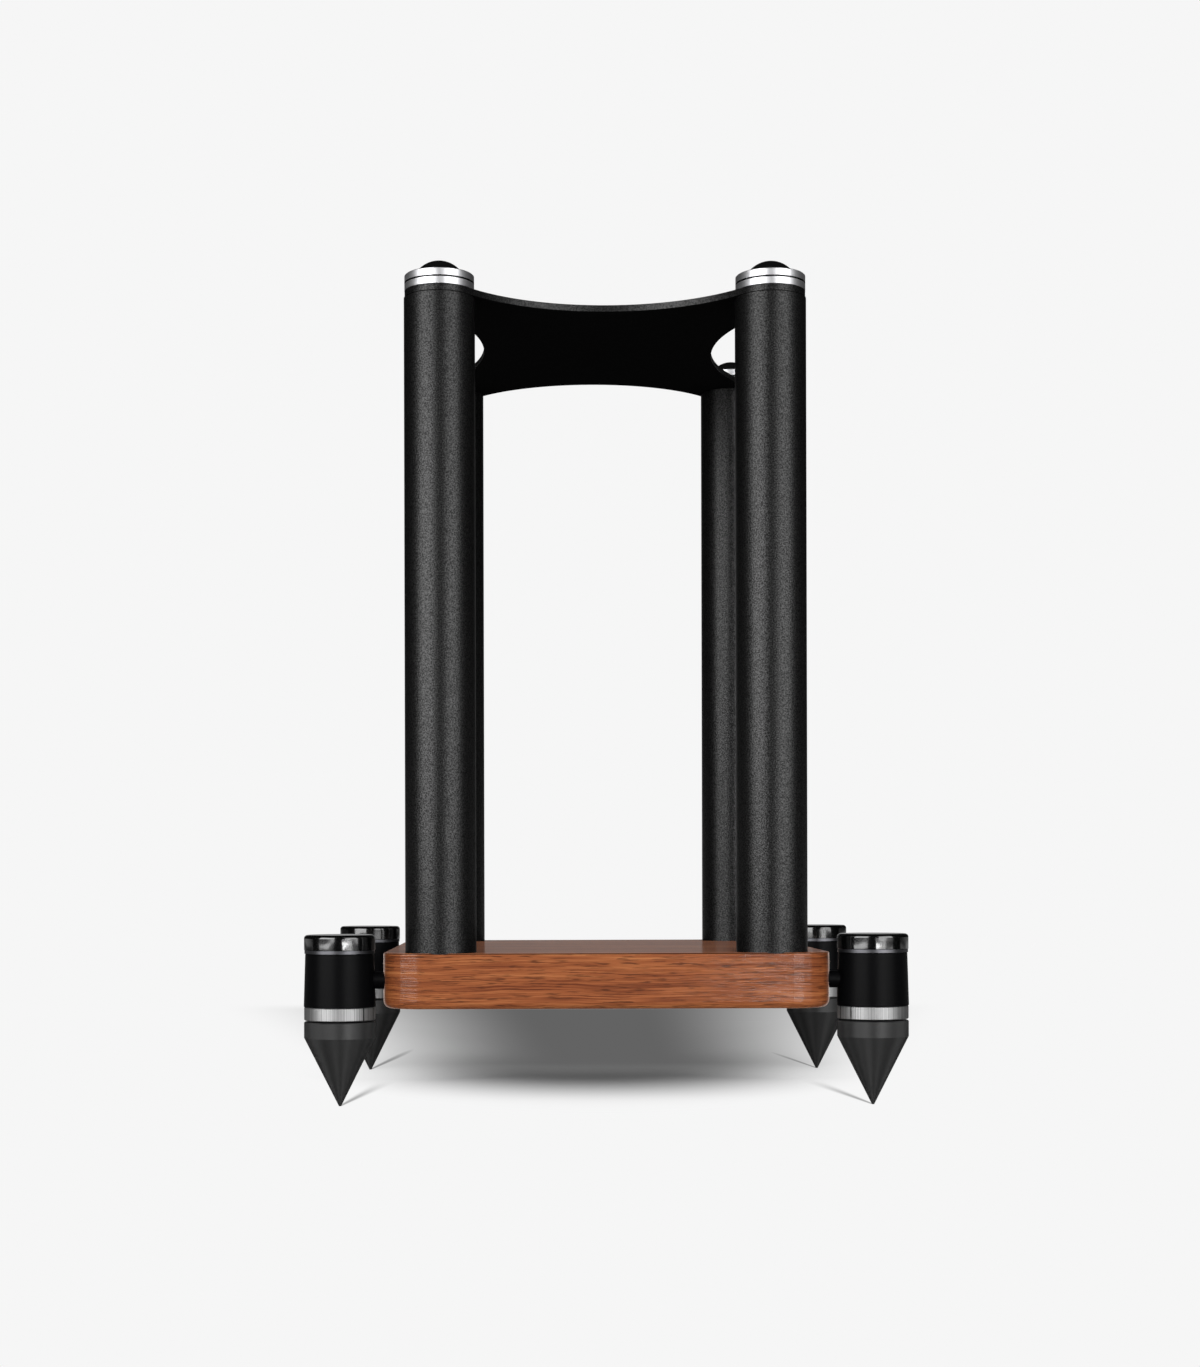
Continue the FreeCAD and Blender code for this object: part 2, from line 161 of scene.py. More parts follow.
# Pale seamless paper: lit near the stand, an even white further out, with the painted shade on it
def paperMaterial():
    material, tree = newMaterial("paleSeamlessPaper")
    place = addNode(tree, "ShaderNodeTexCoord").outputs["Object"]
    axis = addNode(tree, "ShaderNodeSeparateXYZ", {0: place})
    x, y = axis.outputs["X"], axis.outputs["Y"]

    fromMiddle = addNode(tree, "ShaderNodeVectorMath", {0: place}, operation="LENGTH").outputs["Value"]
    aside = addNode(tree, "ShaderNodeMath", {0: x}, operation="ABSOLUTE")
    squared = addNode(tree, "ShaderNodeMath", {0: x, 1: x}, operation="MULTIPLY")
    curved = addNode(tree, "ShaderNodeMath", {0: squared, 1: studio["litCurve"], 2: y},
                     operation="MULTIPLY_ADD")
    shifted = addNode(tree, "ShaderNodeMath", {0: x, 1: shade["offset"]}, operation="SUBTRACT")
    offset = addNode(tree, "ShaderNodeMath", {0: shifted}, operation="ABSOLUTE")
    widening = addNode(tree, "ShaderNodeMath", {0: y, 1: shade["spread"], 2: 1.0}, operation="MULTIPLY_ADD")
    across = addNode(tree, "ShaderNodeMath", {0: offset, 1: widening}, operation="DIVIDE")

    # each soft edge: what is measured, the span it turns over, and its level before and after
    edges = {
        "litReach": (fromMiddle, studio["litReach"], 0.0, 1.0),
        "litFront": (curved, studio["litFront"], 0.0, 1.0),
        "litSide": (aside, studio["litSide"], 0.0, 1.0),
        "shadeStart": (y, shade["start"], 0.0, 1.0),
        "shadeEnd": (y, shade["end"], 1.0, 0.0),
        "shadeSide": (across, shade["side"], 1.0, 0.0),
    }
    soft = {}
    for name, (value, span, low, high) in edges.items():
        soft[name] = addNode(tree, "ShaderNodeMapRange", {
            "Value": value, "From Min": span[0], "From Max": span[1], "To Min": low, "To Max": high},
            interpolation_type="SMOOTHSTEP")
    farOrNear = addNode(tree, "ShaderNodeMath", {0: soft["litReach"], 1: soft["litFront"]},
                        operation="MAXIMUM")
    plain = addNode(tree, "ShaderNodeMath", {0: farOrNear, 1: soft["litSide"]}, operation="MAXIMUM")
    along = addNode(tree, "ShaderNodeMath", {0: soft["shadeStart"], 1: soft["shadeEnd"]},
                    operation="MULTIPLY")
    shaded = addNode(tree, "ShaderNodeMath", {0: along, 1: soft["shadeSide"]}, operation="MULTIPLY")
    for streak in streaks:
        behind = addNode(tree, "ShaderNodeMath", {0: y, 1: streak["tip"]}, operation="SUBTRACT")
        middle = addNode(tree, "ShaderNodeMath", {
            0: behind, 1: -streakLine["slant"], 2: streakLine["foot"]}, operation="MULTIPLY_ADD")
        beside = addNode(tree, "ShaderNodeMath", {0: aside, 1: middle}, operation="SUBTRACT")
        away = addNode(tree, "ShaderNodeMath", {0: beside}, operation="ABSOLUTE")
        reach = addNode(tree, "ShaderNodeMath", {
            0: behind, 1: streakLine["width"][1], 2: streakLine["width"][0]}, operation="MULTIPLY_ADD")
        share = addNode(tree, "ShaderNodeMath", {0: away, 1: reach}, operation="DIVIDE")
        depth = addNode(tree, "ShaderNodeMapRange", {
            "Value": share, "To Min": streak["depth"], "To Max": 0.0}, interpolation_type="SMOOTHSTEP")
        ending = addNode(tree, "ShaderNodeMapRange", {
            "Value": y, "From Min": streak["end"][0], "From Max": streak["end"][1],
            "To Min": 1.0, "To Max": 0.0}, interpolation_type="SMOOTHSTEP")
        started = addNode(tree, "ShaderNodeMath", {0: behind, 1: 0.0}, operation="GREATER_THAN")
        drawn = addNode(tree, "ShaderNodeMath", {0: started, 1: ending}, operation="MULTIPLY")
        line = addNode(tree, "ShaderNodeMath", {0: depth, 1: drawn}, operation="MULTIPLY")
        shaded = addNode(tree, "ShaderNodeMath", {0: shaded, 1: line}, operation="MAXIMUM")

    path = addNode(tree, "ShaderNodeLightPath")
    mirrored = path.outputs["Is Glossy Ray"]
    straight = addNode(tree, "ShaderNodeMath", {
        0: path.outputs["Is Camera Ray"], 1: path.outputs["Is Transmission Ray"]}, operation="MAXIMUM")
    level = addNode(tree, "ShaderNodeMath", {0: mirrored, 1: studio["paperMirrored"] - 1, 2: 1.0},
                    operation="MULTIPLY_ADD")
    lit = addNode(tree, "ShaderNodeBsdfDiffuse", {"Color": hexColour(studio["paperAlbedo"])})
    glow = addNode(tree, "ShaderNodeEmission", {"Color": hexColour(studio["paper"]), "Strength": level})
    gloom = addNode(tree, "ShaderNodeEmission", {
        "Color": hexColour(studio["paper"]), "Strength": shade["light"]})
    plainSeen = addNode(tree, "ShaderNodeMath", {0: plain, 1: straight}, operation="MULTIPLY")
    glowing = addNode(tree, "ShaderNodeMath", {0: plainSeen, 1: mirrored}, operation="MAXIMUM")
    unshaded = addNode(tree, "ShaderNodeMixShader", {0: glowing, 1: lit, 2: glow})
    shadeSeen = addNode(tree, "ShaderNodeMath", {0: shaded, 1: straight}, operation="MULTIPLY")
    finishMaterial(tree, addNode(tree, "ShaderNodeMixShader", {0: shadeSeen, 1: unshaded, 2: gloom}))
    return material


def makePaper():
    half, front, rear = studio["paperHalfWidth"], studio["paperFront"], studio["paperRear"]
    outline = [(-half, front, 0), (half, front, 0), (half, rear, 0), (-half, rear, 0)]
    mesh = bpy.data.meshes.new("paperSheet")
    mesh.from_pydata(outline, [], [(0, 1, 2, 3)])
    mesh.materials.append(paperMaterial())
    paper = bpy.data.objects.new("paperSheet", mesh)
    scene.collection.objects.link(paper)


def aimed(place, target):
    return (Vector(target) - Vector(place)).to_track_quat("-Z", "Y").to_matrix().to_4x4()


# a softbox shows only as a reflection: the soft light on paper and wood comes from the keys and the world
def makeSoftbox(box):
    turn = math.radians(box["azimuth"])
    height = box["low"] + box["tall"] / 2
    place = Vector((math.sin(turn) * softboxDistance, -math.cos(turn) * softboxDistance, height))
    data = bpy.data.lights.new(box["name"], "AREA")
    data.shape = "RECTANGLE"
    data.size = box["wide"]
    data.size_y = box["tall"]
    data.energy = box["brightness"] * math.pi * box["wide"] * box["tall"]
    lamp = bpy.data.objects.new(box["name"], data)
    lamp.matrix_world = Matrix.Translation(place) @ aimed(place, (0, 0, height))
    lamp.visible_camera = False
    lamp.visible_diffuse = False
    scene.collection.objects.link(lamp)


# and a key is the reverse: it lights, and shows in no reflection
def makeKey(key):
    data = bpy.data.lights.new(key["name"], "SUN")
    data.energy = key["strength"]
    data.angle = math.radians(key["softness"])
    turn, rise = math.radians(key["azimuth"]), math.radians(key["elevation"])
    place = Vector((math.sin(turn) * math.cos(rise), -math.cos(turn) * math.cos(rise), math.sin(rise)))
    lamp = bpy.data.objects.new(key["name"], data)
    lamp.matrix_world = aimed(place, (0, 0, 0))
    lamp.visible_glossy = False
    scene.collection.objects.link(lamp)


# white to the camera, grey to soft light, and nearly black with two pale zones to reflections
def makeWorld():
    world = bpy.data.worlds.new("studioWorld")
    scene.world = world
    world.use_nodes = True
    tree = world.node_tree
    tree.nodes.clear()
    path = addNode(tree, "ShaderNodeLightPath")
    grey = studio["ambient"]
    ambient = addNode(tree, "ShaderNodeBackground", {"Color": (grey, grey, grey, 1), "Strength": 1.0})
    heading = addNode(tree, "ShaderNodeTexCoord").outputs["Generated"]
    axis = addNode(tree, "ShaderNodeSeparateXYZ", {0: heading})
    height = axis.outputs["Z"]

    sides = []
    for direction, span in ((axis.outputs["X"], studio["rearWidth"]), (height, studio["rearHeight"])):
        aside = addNode(tree, "ShaderNodeMath", {0: direction}, operation="ABSOLUTE")
        sides.append(addNode(tree, "ShaderNodeMapRange", {
            "Value": aside, "From Min": span[0], "From Max": span[1]}, interpolation_type="SMOOTHSTEP"))
    rearZone = addNode(tree, "ShaderNodeMath", {0: sides[0], 1: sides[1]}, operation="MULTIPLY")
    rear = addNode(tree, "ShaderNodeMath", {0: axis.outputs["Y"], 1: 0.0}, operation="GREATER_THAN")
    above = addNode(tree, "ShaderNodeMath", {0: height, 1: 0.0}, operation="GREATER_THAN")
    rearAbove = addNode(tree, "ShaderNodeMath", {0: rear, 1: above}, operation="MULTIPLY")
    rearShare = addNode(tree, "ShaderNodeMath", {0: rearZone, 1: rearAbove}, operation="MULTIPLY")
    rearLevel = addNode(tree, "ShaderNodeMath", {
        0: rearShare, 1: studio["rearGlow"], 2: studio["studioDark"]}, operation="MULTIPLY_ADD")
    below = addNode(tree, "ShaderNodeMapRange", {
        "Value": height, "From Min": studio["lowTop"][0], "From Max": studio["lowTop"][1]},
        interpolation_type="SMOOTHSTEP")
    lowLevel = addNode(tree, "ShaderNodeMapRange", {
        "Value": height, "From Min": studio["lowHeight"][0], "From Max": studio["lowHeight"][1],
        "To Max": studio["lowGlow"]}, interpolation_type="SMOOTHSTEP")
    rearBelow = addNode(tree, "ShaderNodeMath", {0: rear, 1: below}, operation="MULTIPLY")
    mirroredLevel = addNode(tree, "ShaderNodeMath", {0: rearBelow, 1: lowLevel, 2: rearLevel},
                            operation="MULTIPLY_ADD")
    unlit = addNode(tree, "ShaderNodeBackground", {"Color": (1.0, 1.0, 1.0, 1.0), "Strength": mirroredLevel})
    backdrop = addNode(tree, "ShaderNodeBackground", {"Color": hexColour(studio["paper"]), "Strength": 1.0})
    around = addNode(tree, "ShaderNodeMixShader", {0: path.outputs["Is Glossy Ray"], 1: ambient, 2: unlit})
    straight = addNode(tree, "ShaderNodeMath", {
        0: path.outputs["Is Camera Ray"], 1: path.outputs["Is Transmission Ray"]}, operation="MAXIMUM")
    whole = addNode(tree, "ShaderNodeMixShader", {0: straight, 1: around, 2: backdrop})
    addNode(tree, "ShaderNodeOutputWorld", {"Surface": whole})


makePaper()
for box in softboxes:
    makeSoftbox(box)
for key in keys:
    makeKey(key)
makeWorld()
scene.view_settings.view_transform = "Standard"
print("studio lit")


walnut = {
    "dark": "5a2a15",
    "middle": "864a28",
    "light": "a1653b",
    "toneStops": (0.36, 0.5, 0.64),  # where the three lie between the darkest and the lightest grain
    "pore": "351a0c",
    "poreSpan": (0.56, 0.68),  # how much of the surface they take: lower is more
    "poreDepth": 0.66,
    "bounce": "2a2a2a",  # what its light leaves on the floor is kept neutral
    "swayLength": 60,  # mm from one slow bend of the grain to the next
    "sway": 5.0,  # mm that a bend can move it
    "bandLength": 200,  # mm along the grain
    "bandWidth": 10.0,  # mm across it
    "fibreLength": 60,
    "fibreWidth": 0.95,  # fibres and pores are drawn wider than real ones, so that they show
    "poreLength": 12,
    "poreWidth": 0.75,
    "ridgeLength": 30,
    "ridgeWidth": 1.2,
    "ridgeHeight": 0.0002,  # m
    "level": (0.70, 0.72),  # how far a face is turned up before its grain runs as on the top
    "roughness": 0.5,
    "ior": 1.45,
    "specular": 0.1,
    "lacquer": 0.5,
    "lacquerRoughness": 0.12,
    "lacquerIor": 1.5,
    "sheen": 0.10,
    "edgeSheen": 1.0,  # the pale line where the rounded corners turn away
    "edgeSpan": (0.6, 0.85),
    "sheenRoughness": 0.3,
    "sheenColour": "e4ccc0",
    "topEdgeShade": 106.9,  # mm above the floor: the veneer's seam along the top edge, where painted shade gives a fine dark line
}


# a vector stretched along the grain: long in both level directions on the edges, along X on the faces
def grainVector(tree, place, length, width):
    along, over = 1 / length, 1 / width
    edge = addNode(tree, "ShaderNodeVectorMath", {0: place, 1: (along, along, over)}, operation="MULTIPLY")
    face = addNode(tree, "ShaderNodeVectorMath", {0: place, 1: (along, over, along)}, operation="MULTIPLY")
    facing = addNode(tree, "ShaderNodeTexCoord").outputs["Normal"]
    rise = addNode(tree, "ShaderNodeSeparateXYZ", {0: facing}).outputs["Z"]
    flat = addNode(tree, "ShaderNodeMath", {0: rise}, operation="ABSOLUTE")
    choose = addNode(tree, "ShaderNodeMapRange", {
        "Value": flat, "From Min": walnut["level"][0], "From Max": walnut["level"][1]})
    return addNode(tree, "ShaderNodeMix", {"Factor": choose, 4: edge, 5: face},
                   data_type="VECTOR").outputs[1]


# Lacquered walnut veneer: warm brown bands and short dark pores under a clear film that shines at a low angle
def walnutVeneer(spec):
    material, tree = newMaterial("lacqueredWalnutVeneer")
    place = millimetres(tree)
    bend = addNode(tree, "ShaderNodeTexNoise", {
        "Vector": place, "Scale": 1 / spec["swayLength"], "Detail": 2.0}).outputs["Color"]
    centred = addNode(tree, "ShaderNodeVectorMath", {0: bend, 1: (0.5, 0.5, 0.5)}, operation="SUBTRACT")
    sway = spec["sway"]
    bent = addNode(tree, "ShaderNodeVectorMath", {0: centred, 1: (sway, sway, sway), 2: place},
                   operation="MULTIPLY_ADD").outputs[0]
    bands = addNode(tree, "ShaderNodeTexNoise", {
        "Vector": grainVector(tree, bent, spec["bandLength"], spec["bandWidth"]),
        "Scale": 1.0, "Detail": 3.0, "Roughness": 0.55}).outputs["Fac"]
    fibres = addNode(tree, "ShaderNodeTexNoise", {
        "Vector": grainVector(tree, bent, spec["fibreLength"], spec["fibreWidth"]),
        "Scale": 1.0, "Detail": 2.0, "Roughness": 0.6}).outputs["Fac"]
    pores = addNode(tree, "ShaderNodeTexNoise", {
        "Vector": grainVector(tree, place, spec["poreLength"], spec["poreWidth"]),
        "Scale": 1.0, "Detail": 1.0}).outputs["Fac"]
    tone = addNode(tree, "ShaderNodeMix", {"Factor": 0.5, 2: bands, 3: fibres}, data_type="FLOAT")
    wood = addNode(tree, "ShaderNodeValToRGB", {"Fac": tone})
    ramp = wood.color_ramp
    darkStop, middleStop, lightStop = spec["toneStops"]
    ramp.elements[0].position = darkStop
    ramp.elements[0].color = hexColour(spec["dark"])
    ramp.elements[1].position = lightStop
    ramp.elements[1].color = hexColour(spec["light"])
    ramp.elements.new(middleStop).color = hexColour(spec["middle"])
    inPore = addNode(tree, "ShaderNodeMapRange", {
        "Value": pores, "From Min": spec["poreSpan"][0], "From Max": spec["poreSpan"][1],
        "To Max": spec["poreDepth"]})
    colour = addNode(tree, "ShaderNodeMix", {
        "Factor": inPore, 6: wood.outputs["Color"], 7: hexColour(spec["pore"])}, data_type="RGBA")
    ridges = addNode(tree, "ShaderNodeTexNoise", {
        "Vector": grainVector(tree, bent, spec["ridgeLength"], spec["ridgeWidth"]),
        "Scale": 1.0, "Detail": 2.0}).outputs["Fac"]
    bump = addNode(tree, "ShaderNodeBump", {
        "Height": ridges, "Strength": 1.0, "Distance": spec["ridgeHeight"]})

    height = addNode(tree, "ShaderNodeSeparateXYZ", {0: place}).outputs["Z"]
    # painted shade: a fine dark line in pore colour along the top of the upright faces, in the veneer's seam
    upper = addNode(tree, "ShaderNodeMath", {0: height, 1: spec["topEdgeShade"]}, operation="GREATER_THAN")
    facing = addNode(tree, "ShaderNodeTexCoord").outputs["Normal"]
    rise = addNode(tree, "ShaderNodeSeparateXYZ", {0: facing}).outputs["Z"]
    upright = addNode(tree, "ShaderNodeMath", {0: rise, 1: spec["level"][0]}, operation="LESS_THAN")
    topEdgeShade = addNode(tree, "ShaderNodeMath", {0: upper, 1: upright}, operation="MULTIPLY")
    edged = addNode(tree, "ShaderNodeMix", {
        "Factor": topEdgeShade, 6: colour.outputs[2], 7: hexColour(spec["pore"])}, data_type="RGBA")
    path = addNode(tree, "ShaderNodeLightPath")
    indirect = addNode(tree, "ShaderNodeMath", {
        0: path.outputs["Is Diffuse Ray"], 1: path.outputs["Is Glossy Ray"]}, operation="MAXIMUM")
    shown = addNode(tree, "ShaderNodeMix", {
        "Factor": indirect, 6: edged.outputs[2], 7: hexColour(spec["bounce"])}, data_type="RGBA")

    glance = addNode(tree, "ShaderNodeLayerWeight", {"Blend": 0.5}).outputs["Facing"]
    haze = addNode(tree, "ShaderNodeMapRange", {
        "Value": glance, "From Min": spec["edgeSpan"][0], "From Max": spec["edgeSpan"][1]},
        interpolation_type="SMOOTHSTEP")
    edgeHaze = addNode(tree, "ShaderNodeMath", {0: haze, 1: upright}, operation="MULTIPLY")
    sheen = addNode(tree, "ShaderNodeMath", {0: edgeHaze, 1: spec["edgeSheen"], 2: spec["sheen"]},
                    operation="MULTIPLY_ADD")
    surface = addNode(tree, "ShaderNodeBsdfPrincipled", {
        "Base Color": shown.outputs[2], "Roughness": spec["roughness"], "IOR": spec["ior"],
        "Specular IOR Level": spec["specular"], "Coat Weight": spec["lacquer"],
        "Coat Roughness": spec["lacquerRoughness"], "Coat IOR": spec["lacquerIor"],
        "Coat Normal": bump.outputs["Normal"], "Sheen Weight": sheen,
        "Sheen Roughness": spec["sheenRoughness"], "Sheen Tint": hexColour(spec["sheenColour"])})
    finishMaterial(tree, surface, bump)
    return material


powder = {
    "colour": "060606",
    "speckle": "0d0d0d",
    "grain": 0.95,  # mm between the pebbles, drawn a little coarser than they are so that they show
    "pebbleSpan": (0.36, 0.66),
    "sparkle": (0.18, 0.62),  # specular level in the hollows and on the pebbles
    "roughness": 0.36,
    "ior": 1.5,
    "relief": 0.00013,  # m
    "joint": (567.0, 0.35),  # painted shade where the plate's foot meets the columns, a fine dark line without gloss: height and half width, mm
}


# Fine-texture black powder coat on steel: a pebbled skin that breaks each highlight into soft speckle
def texturedPowderCoat(spec):
    material, tree = newMaterial("texturedBlackPowderCoat")
    place = millimetres(tree)
    pebbles = addNode(tree, "ShaderNodeTexNoise", {
        "Vector": place, "Scale": 1 / spec["grain"], "Detail": 1.0, "Roughness": 0.5}).outputs["Fac"]
    colour = addNode(tree, "ShaderNodeMix", {
        "Factor": pebbles, 6: hexColour(spec["colour"]), 7: hexColour(spec["speckle"])}, data_type="RGBA")
    sparkle = addNode(tree, "ShaderNodeMapRange", {
        "Value": pebbles, "From Min": spec["pebbleSpan"][0], "From Max": spec["pebbleSpan"][1],
        "To Min": spec["sparkle"][0], "To Max": spec["sparkle"][1]})
    height = addNode(tree, "ShaderNodeSeparateXYZ", {0: place}).outputs["Z"]
    # painted shade: a fine line round the columns at the plate's foot takes no specular
    joint = addNode(tree, "ShaderNodeMath", {0: height, 1: spec["joint"][0], 2: spec["joint"][1]},
                    operation="COMPARE")
    gleam = addNode(tree, "ShaderNodeMix", {"Factor": joint, 2: sparkle, 3: 0.0}, data_type="FLOAT")
    bump = addNode(tree, "ShaderNodeBump", {"Height": pebbles, "Strength": 1.0, "Distance": spec["relief"]})
    surface = addNode(tree, "ShaderNodeBsdfPrincipled", {
        "Base Color": colour.outputs[2], "Roughness": spec["roughness"], "IOR": spec["ior"],
        "Specular IOR Level": gleam})
    finishMaterial(tree, surface, bump)
    return material


# toolMark is the pitch of the marks in mm, and relief how strongly they show
turned = {
    "polishedSteelWasher": {
        "colour": "68686c", "metallic": 1.0, "roughness": 0.36, "toolMark": 0.3, "relief": 0.05},
    "satinBlackFootBody": {
        "colour": "060607", "metallic": 0.0, "roughness": 0.36, "toolMark": 0.5, "relief": 0.08,
        "specular": 0.06},
    "zincPlatedSteel": {
        "colour": "b9bcc2", "metallic": 1.0, "roughness": 0.3, "toolMark": 0.6, "relief": 0.2},
    "turnedBrass": {
        "colour": "c9a35a", "metallic": 1.0, "roughness": 0.28, "toolMark": 0.5, "relief": 0.2},
    "mildSteel": {
        "colour": "9a9a9c", "metallic": 1.0, "roughness": 0.35, "toolMark": 0.5, "relief": 0.2},
}
turning = {
    "markLength": 50,  # mm round the piece
    "markDepth": 0.00005,  # m
    "span": (0.3, 0.7),
    "unevenness": (0.95, 1.05),  # how far the marks move the roughness
}


# Turned metal, bare or in satin black: its tool marks are too fine to show, and only soften the mirror
def turnedMetal(name, spec):
    material, tree = newMaterial(name)
    along = 1 / turning["markLength"]
    lines = addNode(tree, "ShaderNodeVectorMath", {
        0: millimetres(tree), 1: (along, along, 1 / spec["toolMark"])}, operation="MULTIPLY")
    marks = addNode(tree, "ShaderNodeTexNoise", {
        "Vector": lines, "Scale": 1.0, "Detail": 2.0}).outputs["Fac"]
    rough = addNode(tree, "ShaderNodeMapRange", {
        "Value": marks, "From Min": turning["span"][0], "From Max": turning["span"][1],
        "To Min": spec["roughness"] * turning["unevenness"][0],
        "To Max": spec["roughness"] * turning["unevenness"][1]})
    bump = addNode(tree, "ShaderNodeBump", {
        "Height": marks, "Strength": spec["relief"], "Distance": turning["markDepth"]})
    surface = addNode(tree, "ShaderNodeBsdfPrincipled", {
        "Base Color": hexColour(spec["colour"]), "Metallic": spec["metallic"], "Roughness": rough})
    if spec["metallic"] == 0:
        surface.inputs["Specular IOR Level"].default_value = spec["specular"]
    finishMaterial(tree, surface, bump)
    return material


polished = {
    "colour": "f0f0f2",
    "roughness": 0.40,
    "groove": (576.6, 577.8),  # mm above the floor, the dark line of painted shade in the cut between collar and disc
    "grooveColour": "0a0a0b",
}


# Satin-polished aluminium: a soft bright gradient round each ring, with painted shade as a dark line between
# the two
def satinAluminium(spec):
    material, tree = newMaterial("satinPolishedAluminium")
    height = addNode(tree, "ShaderNodeSeparateXYZ", {0: millimetres(tree)}).outputs["Z"]
    # painted shade: the band between collar and disc takes a near-black colour
    overFoot = addNode(tree, "ShaderNodeMath", {0: height, 1: spec["groove"][0]}, operation="GREATER_THAN")
    underTop = addNode(tree, "ShaderNodeMath", {0: height, 1: spec["groove"][1]}, operation="LESS_THAN")
    inGrooveShade = addNode(tree, "ShaderNodeMath", {0: overFoot, 1: underTop}, operation="MULTIPLY")
    colour = addNode(tree, "ShaderNodeMix", {
        "Factor": inGrooveShade, 6: hexColour(spec["colour"]), 7: hexColour(spec["grooveColour"])},
        data_type="RGBA")
    surface = addNode(tree, "ShaderNodeBsdfPrincipled", {
        "Base Color": colour.outputs[2], "Metallic": 1.0, "Roughness": spec["roughness"]})
    finishMaterial(tree, surface)
    return material


brushedRing = {
    "name": "brushedSteelLockRing",
    "low": "9e9e9e",
    "high": "c8c8c8",
    "metallic": 1.0,
    "roughness": 0.5,
    "line": 0.8,  # mm round the ring, drawn wider than real brushing so that it shows
    "relief": 0.00004,  # m
    "darkLines": (2.38, 2.86),  # radians from outwards, round by the front: two thin dark lines by the board
    "darkLineWidth": 0.02,
    "darkLineColour": "0c0c0c",
}
brushedSpike = {
    "name": "satinBlackSpike",
    "low": "222222",
    "high": "353535",
    "metallic": 0.0,
    "roughness": 0.36,
    "line": 11,
    "relief": 0.00001,
    "specular": 0.3,
    # the stem, seen once the spike is screwed out: mm, mm, m
    "thread": {"above": 60.0, "pitch": 1.75, "depth": 0.0006},
}
strokeSpan = (0.35, 0.65)  # the part of the noise that runs from the low colour to the high one


# Metal brushed upright, round each foot's own axis: steel with fine bright lines, or black with soft bands
def brushedRound(spec):
    material, tree = newMaterial(spec["name"])
    folded = addNode(tree, "ShaderNodeVectorMath", {0: millimetres(tree)}, operation="ABSOLUTE")
    centred = addNode(tree, "ShaderNodeVectorMath", {0: folded, 1: (footAxis["x"], footAxis["y"], 0.0)},
                      operation="SUBTRACT")
    axis = addNode(tree, "ShaderNodeSeparateXYZ", {0: centred})
    turn = addNode(tree, "ShaderNodeMath", {0: axis.outputs["Y"], 1: axis.outputs["X"]},
                   operation="ARCTAN2")
    around = addNode(tree, "ShaderNodeMath", {0: turn, 1: footAxis["radius"] / spec["line"]},
                     operation="MULTIPLY")
    lines = addNode(tree, "ShaderNodeCombineXYZ", {"X": around})
    strokes = addNode(tree, "ShaderNodeTexNoise", {
        "Vector": lines, "Scale": 1.0, "Detail": 1.0}).outputs["Fac"]
    light = addNode(tree, "ShaderNodeMapRange", {
        "Value": strokes, "From Min": strokeSpan[0], "From Max": strokeSpan[1]})
    colour = addNode(tree, "ShaderNodeMix", {
        "Factor": light, 6: hexColour(spec["low"]), 7: hexColour(spec["high"])}, data_type="RGBA").outputs[2]
    # two thin dark lines drawn on each lock ring, round by the board
    for darkLine in spec.get("darkLines", ()):
        onDarkLine = addNode(tree, "ShaderNodeMath", {0: turn, 1: darkLine, 2: spec["darkLineWidth"]}, operation="COMPARE")
        colour = addNode(tree, "ShaderNodeMix", {
            "Factor": onDarkLine, 6: colour, 7: hexColour(spec["darkLineColour"])}, data_type="RGBA").outputs[2]
    bump = addNode(tree, "ShaderNodeBump", {"Height": strokes, "Strength": 1.0, "Distance": spec["relief"]})
    if "thread" in spec:
        thread = spec["thread"]
        height = addNode(tree, "ShaderNodeSeparateXYZ", {0: millimetres(tree)}).outputs["Z"]
        rise = addNode(tree, "ShaderNodeMath", {0: height, 1: 1 / thread["pitch"]}, operation="MULTIPLY")
        wound = addNode(tree, "ShaderNodeMath", {0: turn, 1: -1 / (2 * math.pi), 2: rise},
                        operation="MULTIPLY_ADD")
        ridge = addNode(tree, "ShaderNodeMath", {0: wound, 1: 0.5}, operation="PINGPONG")
        stem = addNode(tree, "ShaderNodeMath", {0: height, 1: thread["above"]}, operation="GREATER_THAN")
        cut = addNode(tree, "ShaderNodeMath", {0: ridge, 1: stem}, operation="MULTIPLY")
        bump = addNode(tree, "ShaderNodeBump", {
            "Height": cut, "Strength": 1.0, "Distance": thread["depth"], "Normal": bump.outputs["Normal"]})
    surface = addNode(tree, "ShaderNodeBsdfPrincipled", {
        "Base Color": colour, "Metallic": spec["metallic"], "Roughness": spec["roughness"]})
    if spec["metallic"] == 0:
        surface.inputs["Specular IOR Level"].default_value = spec["specular"]
    finishMaterial(tree, surface, bump)
    return material


gloss = {
    "colour": "030303",
    "roughness": 0.16,
    "ior": 1.5,
    "specular": 0.7,
    "film": 1.0,
    "filmRoughness": 0.07,
    "filmIor": 1.5,
    "waviness": 9,  # mm from one slow swell of the film to the next
    "swellHeight": 0.0003,  # m
}


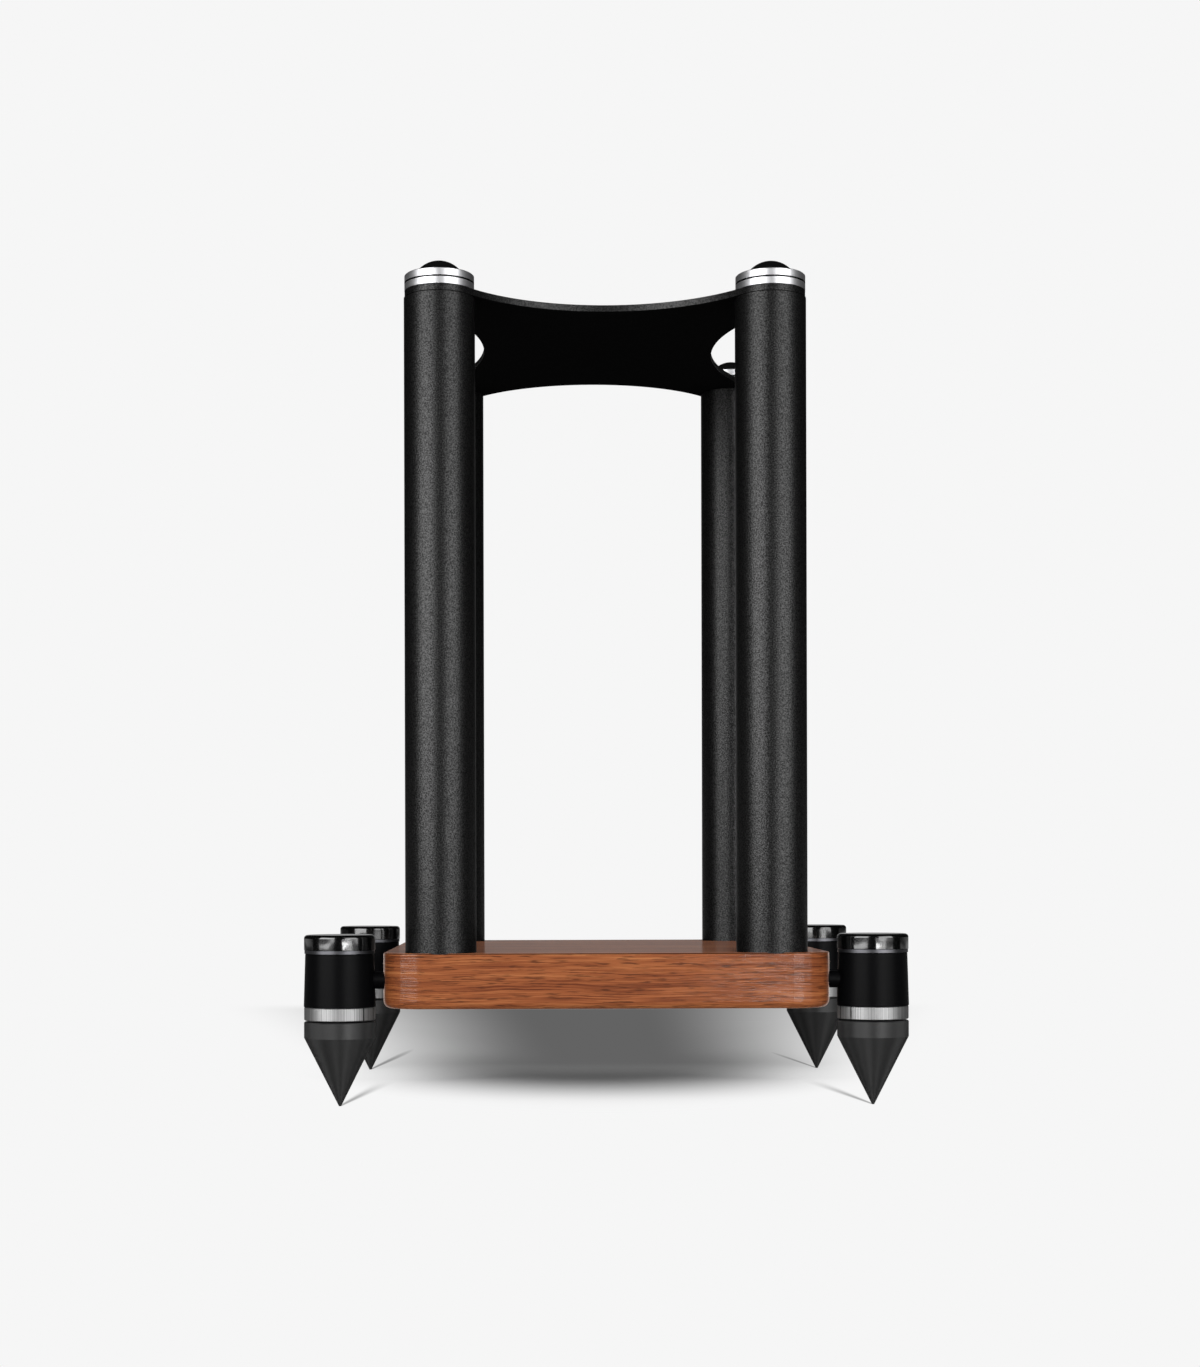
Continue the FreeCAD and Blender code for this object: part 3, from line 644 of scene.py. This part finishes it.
# Gloss black lacquer on a turned knob: a deep black that mirrors the softboxes as wavy pale patches
def glossLacquer(spec):
    material, tree = newMaterial("glossBlackLacquer")
    swell = addNode(tree, "ShaderNodeTexNoise", {
        "Vector": millimetres(tree), "Scale": 1 / spec["waviness"], "Detail": 0.0}).outputs["Fac"]
    bump = addNode(tree, "ShaderNodeBump", {
        "Height": swell, "Strength": 1.0, "Distance": spec["swellHeight"]})
    surface = addNode(tree, "ShaderNodeBsdfPrincipled", {
        "Base Color": hexColour(spec["colour"]), "Roughness": spec["roughness"], "IOR": spec["ior"],
        "Specular IOR Level": spec["specular"], "Coat Weight": spec["film"],
        "Coat Roughness": spec["filmRoughness"], "Coat IOR": spec["filmIor"],
        "Coat Normal": bump.outputs["Normal"]})
    finishMaterial(tree, surface, bump)
    return material


rubber = {
    "colour": "080808",
    "roughness": 0.45,
    "ior": 1.5,
    "specular": 0.3,
    "grain": 0.6,  # mm
    "grainStrength": 0.15,
    "grainDepth": 0.00005,  # m
}


# Moulded soft rubber: deep black, a faint haze of light, no gloss
def mouldedRubber(spec):
    material, tree = newMaterial("mouldedBlackRubber")
    haze = addNode(tree, "ShaderNodeTexNoise", {
        "Vector": millimetres(tree), "Scale": 1 / spec["grain"], "Detail": 2.0}).outputs["Fac"]
    bump = addNode(tree, "ShaderNodeBump", {
        "Height": haze, "Strength": spec["grainStrength"], "Distance": spec["grainDepth"]})
    surface = addNode(tree, "ShaderNodeBsdfPrincipled", {
        "Base Color": hexColour(spec["colour"]), "Roughness": spec["roughness"], "IOR": spec["ior"],
        "Specular IOR Level": spec["specular"]})
    finishMaterial(tree, surface, bump)
    return material


def dress(material, *nodes):
    for name in nodes:
        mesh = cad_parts[name].data
        mesh.materials.clear()
        mesh.materials.append(material)


def four(name):
    return [name + "_" + corner for corner in corners]


finish = {name: turnedMetal(name, spec) for name, spec in turned.items()}
dress(walnutVeneer(walnut), "base_board")
dress(texturedPowderCoat(powder), "top_plate", *four("column"))
dress(satinAluminium(polished), *four("clamp_collar"), *four("clamp_disc"))
dress(mouldedRubber(rubber), *four("dome_pad"))
dress(finish["satinBlackFootBody"], "foot_spacers", *four("foot_body"))
dress(finish["polishedSteelWasher"], *four("slip_washer"))
dress(glossLacquer(gloss), *four("level_knob"))
dress(brushedRound(brushedRing), *four("lock_ring"))
dress(brushedRound(brushedSpike), *four("spike"))
dress(finish["zincPlatedSteel"], "base_bolts", "base_washers", "foot_studs",
      *four("knob_driver"), *four("knob_retainer"))
dress(finish["turnedBrass"], "foot_inserts", *four("thread_bush"))
dress(finish["mildSteel"], "column_bottom_plugs", "column_top_plugs")
print("finishes on")
